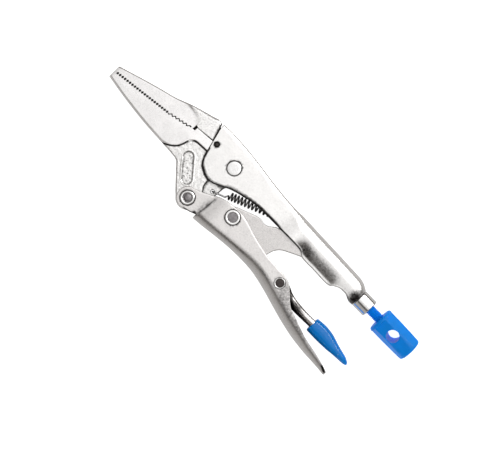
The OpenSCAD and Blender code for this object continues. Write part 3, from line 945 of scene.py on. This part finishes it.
def rivet(name, node, body, centre, head, core_radius, slot, materials, seam=0.35):
    """A rivet with two equal heads, given by (radius, height) points from the middle outwards.

    The core is a darker disc, and seam is the width of the ring of painted shade round the head.
    """
    head_r, seat = head[-1]
    shank = SHANK_SHARE * head_r
    top = rounded(head + [(head_r + seam, seat + 0.03), (head_r + seam, seat)], 0.12)
    profile = [(r, -z) for r, z in top] + [(shank, -seat), (shank, seat)] + top[::-1]
    obj = turned(name, profile, (centre[0], centre[1], 0), steps=64)
    finish(obj, body, [node], slot, *materials)
    middle = Vector(centre[:2])

    # painted shade in the seam just outside the head
    def amount(x, y, z, n):
        return smoothstep(head_r - 0.1, head_r, math.dist(middle, (x, y))) if seam else 0.0

    mark_shade_and_grime(obj, amount)
    if len(materials) > 1:
        paint(obj, lambda p: 1 if (p.xy - middle).length < core_radius else 0)


def build_rivets():
    rivet("pivot_rivet_turned", "jaw_pivot_rivet", "fixed_side", (0, 0),
          [(0, 5.75), (2.6, 5.74), (3.75, 5.66), (4.08, 5.35), (4.1, 5.15)],
          0, "rivet_steel", [RIVET], seam=0)
    rivet("handle_rivet_turned", "handle_rivet", "moving_handle", HANDLE_PIVOT,
          [(0, 6.42), (1.3, 6.3), (2.3, 5.95), (2.55, 6.1), (2.9, 6.5), (3.45, 6.58), (3.95, 6.3),
           (4.1, 5.62)], 2.6, "rivet_steel", [RIVET, RIVET_CORE])
    rivet("link_rivet_turned", "link_rivet", "moving_handle", LINK_PIVOT,
          [(0, 7.2), (2.0, 7.16), (2.75, 7.1), (2.95, 7.38), (3.5, 7.46), (4.05, 7.35), (4.2, 7.02)],
          2.85, "rivet_steel", [RIVET, RIVET_CORE])
    rivet("lever_rivet_turned", "lever_rivet", "moving_handle", LEVER_PIVOT,
          [(0, 7.3), (1.6, 7.22), (2.3, 7.1), (2.5, 7.3), (2.85, 7.4), (3.2, 7.02)],
          2.45, "dark_steel", [RIVET, LEVER_CORE], seam=0.12)


# ---- lower handle --------------------------------------------------------------------------

GRIP_BACK = steady([(2, -35.4), (4, -35.3), (10, -34.7), (20, -33.3), (30, -32.3), (38, -32),
                    (45, -32.2), (52, -33.2), (60, -35), (70, -37.7), (80, -40.2), (90, -42),
                    (100, -42.9), (110, -43.2), (115.2, -43.65)])
GRIP_RIM = [(3.4, -18.2), (5, -17.1), (6.5, -16.4), (10, -15.3), (14, -14.6), (20, -14.2),
            (26, -15.2), (33, -17.3), (40, -19), (46, -20.1), (55, -20.7), (62, -20.9), (66, -22),
            (69, -24.4), (74, -28.8), (78, -31.4), (84, -33.3), (90, -35.3), (96, -37),
            (104, -38.4), (110, -39.7), (115.2, -41.3)]
GRIP_BEND = steady([(2, 5.3), (20, 4.7), (30, 5), (45, 6.2), (60, 6.7), (115.2, 6.6)])
EAR_HALF = 5.58
EAR_SHEET = 0.9
GRIP_WIDTH = steady([(2.5, EAR_HALF), (3.4, EAR_HALF + 0.04), (6, 6.05), (10, 6.75), (13, 7),
                     (120, 7)])
CREASE = steady([(3, -32), (5, -31.7), (20, -30), (35, -28.6), (45, -27.6), (60, -28.9), (70, -31.8),
                 (80, -34.8), (95, -38), (115, -42)])


def joggle_shade(x, y, z):
    """Painted shade where the ears step out to the wide channel, and faintly just before it."""
    bend_x = 5.2 + 0.1 * (y + 19.5)
    line = 0.82 * math.exp(-((x - bend_x + 0.1) / 0.8) ** 2) * (1 - 0.35 * smoothstep(-24, -20, y))
    faint = 0.4 * smoothstep(0.5, 4, x) * (x < bend_x) * smoothstep(-19, -25, y)
    return max(line, faint) * smoothstep(-17.6, -20.0, y) * (abs(z) > 4.6)


def build_lower_handle():
    rim = run_through(GRIP_RIM[:4], 0.35)[:-1] + run_through(GRIP_RIM[3:], 1.0)
    channel = pressed_channel("grip_channel", rim, [x for x, _ in rim], GRIP_BACK, GRIP_WIDTH,
                              GRIP_BEND, lambda x: 2 * EAR_SHEET, lambda x: 0.0, wall=18, edge=0.5)
    centre = HANDLE_PIVOT[:2]
    ear = [(5.2, -17.3), (1.0, -19.6), (-4.0, -22.2)]
    ear += arc(centre, 6.2, 112, 168, 28)
    ear += [(0.2, -34.0), (5.2, -32.0)]
    parts = [channel]
    for side in (1, -1):
        parts.append(plate(f"ear_{side}", ear, EAR_SHEET, 0.35, z=side * (EAR_HALF - EAR_SHEET),
                           holes=[(centre, BORE_R)]))
    handle = join("lower_handle_sheet", parts)
    shade(handle, 35)
    finish(handle, "moving_handle", ["lower_handle"], "nickel_sheet", GRIP_SHEET)
    ear_edge = [(-3.5, -35.1), (0.2, -34.0), (3, -33)]
    tail = [(110.8, -40.5), (114.0, -41.9)]

    # Painted shade inside the channel, round the rivets, in the ear's corner, in the open tail end,
    # along the crease, darker towards the tail and at the joggle
    def amount(x, y, z, n):
        inside = inside_shade(z, n, -1, GRIP_WIDTH(x))
        spots = max(ring_shade(centre, 4.3, x, y), ring_shade(LINK_PIVOT, 4.4, x, y),
                    0.5 * ring_shade(LEVER_PIVOT, 3.3, x, y))
        corner = max(smoothstep(1.9, 0.9, math.hypot(x - 2.3, y + 33.0)),
                     smoothstep(0.9, 0.3, near_line(ear_edge, x, y)))
        hollow = smoothstep(1.0, 0.5, near_line(tail, x, y)) if x > 105 else 0
        crease = 0.5 * math.exp(-((y - CREASE(x)) / 0.6) ** 2) if x > 3 else 0
        crease *= 1 - 0.6 * smoothstep(60, 100, x)
        tail_shade = 0.42 * smoothstep(56, 70, x) * smoothstep(104, 88, x) * (y > CREASE(x) - 0.6)
        return max(0.9 * inside, spots, corner, hollow, crease, tail_shade, joggle_shade(x, y, z))

    mark_shade_and_grime(handle, amount)


# ---- link, lever and grip ------------------------------------------------------------------

def build_link():
    hinge = LINK_PIVOT.xy
    end = Vector((66.0, 0.0))
    way = math.degrees(math.atan2(end.y - hinge.y, end.x - hinge.x))
    outline = arc(hinge, 6.1, way + 90, 170, 24)
    outline += run_through([(43, -23.4), (45.8, -22.6), (46.6, -19.5), (47.6, -16), (50, -12.9),
                            (55, -10), (60, -7.5)], 1.2)
    outline += arc(end, 3.6, way - 90, 180, 16)
    outline += run_through([(50, -1.5), (39.2, -5.8), (37, -7.6), (35, -8.8), (33, -9.1),
                            (30, -8.7), (27, -9.3)], 1.2)
    link = plate("toggle_link_plate", outline, 3.0, 0.45, holes=[(hinge, BORE_R)])
    finish(link, "link", ["toggle_link"], "link_steel", LINK)


LEVER_TOP = steady([(49.8, -22.6), (56, -22.2), (63, -21.4), (68, -23), (72, -24.7), (76, -25.5),
                    (85, -26.1), (92, -26), (104, -26.3), (113, -29)])
LEVER_BOTTOM = steady([(49.8, -24.6), (58, -29.2), (66, -29.3), (74, -30.6), (79, -31.2), (85, -31),
                       (92, -30.7), (104, -30.2), (113, -30.4)])


def build_lever():
    xs = list(np.arange(49.8, 113, 0.8)) + [113]
    rim = [(x, LEVER_BOTTOM(x)) for x in xs]
    bend = steady([(49.8, 1.2), (63, 2.0), (72, 2.2), (85, 2.2), (113, 1.0)])
    lever = pressed_channel("release_lever_sheet", rim, xs, LEVER_TOP, lambda x: 4.6, bend,
                            lambda x: 1.3, steady([(49.8, 0), (66, 0), (76, 2.2), (113, 1.4)]),
                            wall=14, edge=0.4)
    finish(lever, "lever", ["release_lever"], "link_steel", LINK)
    wedge = [(64.0, -21.5), (69.5, -24.5), (74.0, -28.2), (78.5, -31.0)]

    # Painted shade and dark reflection: a dark wedge where the lever leaves the handle, a dark band
    # on its neck and a dark underside
    def amount(x, y, z, n):
        return max(0.95 * smoothstep(2.6, 0.8, near_line(wedge, x, y)),
                   0.85 * smoothstep(88, 79, x) * smoothstep(-25.9, -26.9, y),
                   0.9 * smoothstep(-30.0, -30.7, y) * (x < 92))

    mark_shade_and_grime(lever, amount)


DIP_TOP = steady([(91.2, -25.0), (91.5, -24.4), (92.2, -24.15), (98, -23.7), (103, -24.2),
                  (108, -25.6), (112, -26.7), (117, -27.9), (119.4, -29.0), (120.4, -29.9),
                  (120.68, -30.5)])
DIP_BOTTOM = steady([(91.2, -32.4), (91.5, -32.95), (92.2, -33.15), (98, -33.2), (106, -32.9),
                     (112, -32.25), (118, -31.85), (119.8, -31.5), (120.68, -30.75)])
DIP_PLAN = steady([(91.2, 4.3), (91.5, 4.75), (92.2, 4.9), (108, 4.9), (113, 4.6), (117, 3.9),
                   (119.4, 2.7), (120.4, 1.3), (120.68, 0.35)])


def build_grip():
    xs = [91.2, 91.3, 91.5, 91.8, 92.3] + list(np.arange(93, 117, 0.8))
    xs += list(np.arange(117, 120, 0.3)) + [120.2, 120.4, 120.55, 120.68]
    rings = []
    for x in xs:
        top, bottom, wide = DIP_TOP(x), DIP_BOTTOM(x), DIP_PLAN(x)
        ring = []
        for k in range(48):
            a = 2 * math.pi * k / 48
            c, s = math.cos(a), math.sin(a)
            u = math.copysign(abs(c) ** 0.86, c)
            v = math.copysign(abs(s) ** 0.92, s)
            ring.append((x, (top + bottom) / 2 + v * (top - bottom) / 2, u * wide))
        rings.append(ring)
    grip = new_object("dipped_grip", *rings_to_mesh(rings), smooth_angle=60)
    finish(grip, "lever", ["lever_grip"], "blue_dip", DIP)


# ---- bush, screw and knob ------------------------------------------------------------------

def build_bush():
    outer = [(BORE_R, 86), (3.9, 86), (3.95, 98.8), (5.0, 98.8), (5.4, 99.2), (5.4, 106.9),
             (4.95, 107.5), (BORE_R, 107.5)]
    profile = [outer[0]] + rounded(outer, 0.3)[1:-1] + [outer[-1], outer[0]]
    bush = turned("bush_turned", profile, (0, 0, 0), axis="X", steps=80)
    finish(bush, "fixed_side", ["screw_bush"], "polished_steel", POLISHED)


BLUE_NECK = 106.5


def build_screw():
    """A threaded rod with a tapered plain tip; its other end hides in the knob."""
    start, stop = 74.0, 120.8
    pitch = 1.0
    sides = 28
    plain_r = 2.4
    tip_r = 1.6
    rings = []
    steps = int((stop - start) / pitch * 5)
    for i in range(steps + 1):
        x = start + (stop - start) * i / steps
        ring = []
        for k in range(sides):
            a = 2 * math.pi * k / sides
            phase = ((x - start) / pitch - k / sides) % 1.0
            ridge = 1 - abs(2 * phase - 1)
            fade = smoothstep(start + 3, start + 4, x)
            depth = 0.5 * (1 - smoothstep(0.15, 0.85, ridge))
            r = plain_r + (SCREW_R - depth - plain_r) * fade
            r = min(r, tip_r + (x - start))
            ring.append((x, r * math.cos(a), r * math.sin(a)))
        rings.append(ring)
    screw = new_object("screw_thread", *rings_to_mesh(rings), smooth_angle=50)
    finish(screw, "screw", ["adjusting_screw"], "blue_paint", LINK, PAINT)
    paint(screw, lambda p: 1 if p.x > BLUE_NECK else 0)


KNOB_START = 115.0
KNOB_END = 140.3
KNOB_FLAT = 6.75
KNOB_LEAN = math.radians(13.8)
TETHER_X = 126.5
TETHER_R = 3.7


def flat_cutter(angle):
    """A block that takes one flat off the knob, at an angle round its axis."""
    out = Vector((0, -math.sin(angle), math.cos(angle)))
    side = Vector((0, math.cos(angle), math.sin(angle)))
    corners = []
    for x in (KNOB_START + 2, KNOB_END + 5):
        for v in (-12, 12):
            for w in (KNOB_FLAT, KNOB_FLAT + 5):
                corners.append(Vector((x, 0, 0)) + side * v + out * w)
    box = [(0, 1, 3, 2), (4, 6, 7, 5), (0, 4, 5, 1), (2, 3, 7, 6), (0, 2, 6, 4), (1, 5, 7, 3)]
    return new_object("flat_cut", corners, box)


def build_knob():
    length = KNOB_END - KNOB_START
    outline = [(BORE_R, 0), (6.6, 0), (7.35, 0.35), (7.68, 1.2), (7.68, 10), (7.2, length - 2),
               (6.8, length - 1.1), (5.6, length - 0.45), (3, length - 0.05), (0, length)]
    profile = [(r, KNOB_START + h) for r, h in rounded(outline, 0.4)]
    profile += [(0, KNOB_START + 6), (BORE_R, KNOB_START + 6), (BORE_R, KNOB_START)]
    knob = turned("knob_body", profile, (0, 0, 0), axis="X", steps=96)
    for k in range(6):
        cut(knob, flat_cutter(KNOB_LEAN + math.radians(60 * k)))
    hole = bar("hole_cut", (0, 0, 0), TETHER_R, 14, steps=64)
    turn = Matrix.Rotation(KNOB_LEAN, 4, "X")
    centre = PIVOT + Vector((TETHER_X, 0, 0)) * MM
    hole.data.transform(Matrix.Translation(centre) @ turn @ Matrix.Translation(-PIVOT))
    cut(knob, hole)
    soften(knob, 0.2, 5)
    finish(knob, "knob", ["screw_knob"], "blue_paint", PAINT)


def soften(obj, voxel_mm, rounds):
    """Remeshes a solid evenly and eases its edges, as a thick coat of paint does."""
    obj.modifiers.clear()
    remesh = obj.modifiers.new("even_mesh", "REMESH")
    remesh.mode = "VOXEL"
    remesh.voxel_size = voxel_mm * MM
    ease = obj.modifiers.new("eased_edges", "SMOOTH")
    ease.factor = 0.5
    ease.iterations = rounds
    apply_modifiers(obj)
    obj.data.polygons.foreach_set("use_smooth", [True] * len(obj.data.polygons))


# ---- spring --------------------------------------------------------------------------------

WIRE_R = 0.5
COIL_R = 2.0
COIL_TURNS = 15
COIL_STEPS = 24


def spring_path():
    """The wire's middle line: a hook in the jaw's eye, the coils and a hook in the tab."""
    first = Vector((8.8, -12.4, 0))
    last = Vector((39.6, 0.4, 0))
    way = (last - first).normalized()
    side = Vector((-way.y, way.x, 0))
    up = Vector((0, 0, 1))
    path = straight_runs([(0.8, -17.4, -2.3), (0.8, -17.4, 1.2), (1.0, -17.3, 1.8),
                          (1.7, -16.9, 2.1), (7.6, -14.6, 2.0)], 0.6)
    for i in range(COIL_TURNS * COIL_STEPS + 1):
        u = i / (COIL_TURNS * COIL_STEPS)
        a = math.radians(90 + 360 * COIL_TURNS * u)
        along = first + (last - first) * (0.8 * u + 0.2 * u * u)
        path.append(along + COIL_R * (math.cos(a) * side + math.sin(a) * up))
    path += straight_runs([(41.6, 0.9, 2), (42.6, 1.6, 1.95), (43, 2, 1.6), (43, 2, -1.8)], 0.6)
    return path


def build_spring():
    path = spring_path()
    rings = []
    for i, point in enumerate(path):
        way_here = (path[min(i + 1, len(path) - 1)] - path[max(i - 1, 0)]).normalized()
        across = way_here.cross(Vector((1, 0, 0)) if abs(way_here.z) > 0.9 else Vector((0, 0, 1)))
        across.normalize()
        up = way_here.cross(across)
        ring = []
        for k in range(10):
            a = 2 * math.pi * k / 10
            ring.append(point + WIRE_R * (math.cos(a) * across + math.sin(a) * up))
        rings.append(ring)
    spring = new_object("spring_wire", *rings_to_mesh(rings), smooth_angle=60)
    spring.data.materials.append(SPRING)

    # Painted shade: the coils darker on their upper side, and the hook dark where it sits in the
    # jaw's eye
    def amount(x, y, z, n):
        return max(0.9 * smoothstep(-0.6, 0.4, z) * smoothstep(7.2, 8.6, x),
                   0.95 * smoothstep(2.3, 1.5, x))

    mark_shade_and_grime(spring, amount)
    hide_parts("tension_spring")
    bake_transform(spring)


# ---- studio --------------------------------------------------------------------------------

LIGHT_LEAN = math.radians(24)
LIGHT_WAY = Vector((0.10, math.sin(LIGHT_LEAN), math.cos(LIGHT_LEAN))).normalized()
FAR_WAY = (0.0, 0.6, -0.8)
FAR_COLOUR = (0.60, 0.59, 0.58)
FLOOR_HALF = 3.0

# Colour of the studio by the angle in degrees from the way to its soft light
STUDIO_RING = [(150, (0.62, 0.62, 0.62)), (98, (0.50, 0.49, 0.48)), (80, (0.44, 0.43, 0.42)),
               (72, (0.28, 0.265, 0.25)), (64, (0.075, 0.065, 0.058)), (54, (0.10, 0.088, 0.08)),
               (41, (0.95, 0.95, 0.95)), (0, (1.0, 1.0, 1.0))]


def build_floor():
    """White paper that glows a little, so that the ground stays pure white."""
    mesh = bpy.data.meshes.new("floor")
    corners = [(x * FLOOR_HALF, y * FLOOR_HALF, 0)
               for x, y in ((-1, -1), (1, -1), (1, 1), (-1, 1))]
    mesh.from_pydata(corners, [], [(0, 1, 2, 3)])
    floor = add_object("studio_floor", mesh)
    m = Nodes(bpy.data.materials.new("floor_paper"))
    m.constants({"Roughness": 0.9, "Base Color": (0.95, 0.95, 0.95, 1),
                 "Emission Color": (1, 1, 1, 1), "Emission Strength": 0.92})
    mesh.materials.append(m.owner)
    floor.visible_glossy = False


def area_light(name, place, size, power):
    """A square light of the given size in metres that points at the frame's origin."""
    data = bpy.data.lights.new(name, "AREA")
    data.size = size
    data.energy = power
    light = add_object(name, data)
    light.location = place
    light.rotation_euler = (-place).to_track_quat("-Z", "Y").to_euler()
    return light


def build_lights():
    """A soft light from above, and a strip that only shows as a highlight."""
    area_light("softbox", LIGHT_WAY * 1.1, 0.7, 1.5)
    strip = area_light("strip", Vector((0.25, 0.96, 0.52)), 0.8, 6.0)
    strip.data.shape = "RECTANGLE"
    strip.data.size_y = 0.28
    strip.visible_diffuse = False


def facing(nodes, way):
    """How far a direction in the studio points along way, from -1 to 1."""
    dot = nodes.add("ShaderNodeVectorMath", operation="DOT_PRODUCT")
    nodes.link(nodes.place, dot.inputs[0])
    dot.inputs[1].default_value = way
    return dot.outputs["Value"]


def build_world():
    """A studio with a bright middle, a dark ring round it and a plain far side."""
    world = bpy.data.worlds.new("studio")
    bpy.context.scene.world = world
    w = Nodes(world, "Background", "Generated")
    share = w.maths("MULTIPLY_ADD", facing(w, LIGHT_WAY), 0.5, 0.5)
    ring = w.ramp(share, *[(math.cos(math.radians(degrees)) * 0.5 + 0.5, colour)
                           for degrees, colour in STUDIO_RING])
    far_side = w.add("ShaderNodeMapRange", **{"From Min": 0.68, "From Max": 0.85})
    w.link(facing(w, FAR_WAY), far_side.inputs["Value"])
    w.link(w.mixed(far_side.outputs[0], ring, FAR_COLOUR), w.shader.inputs["Color"])
    w.constants({"Strength": 0.98})
    bpy.context.scene.view_settings.view_transform = "Standard"


def build_camera():
    """Straight above the tool, turned so that the jaws point to the upper left."""
    data = bpy.data.cameras.new("camera")
    data.sensor_width = 36.0
    data.lens = 129.7
    camera = add_object("camera", data)
    camera.location = (0.0004, 0.0, 1.0)
    camera.rotation_euler = (0, 0, math.radians(46))
    bpy.context.scene.camera = camera


build_upper_jaw()
build_lower_jaw()
build_fixed_handle()
build_lock_pin()
build_rivets()
build_lower_handle()
build_link()
build_lever()
build_grip()
build_bush()
build_screw()
build_knob()
build_spring()
build_floor()
build_lights()
build_world()
build_camera()
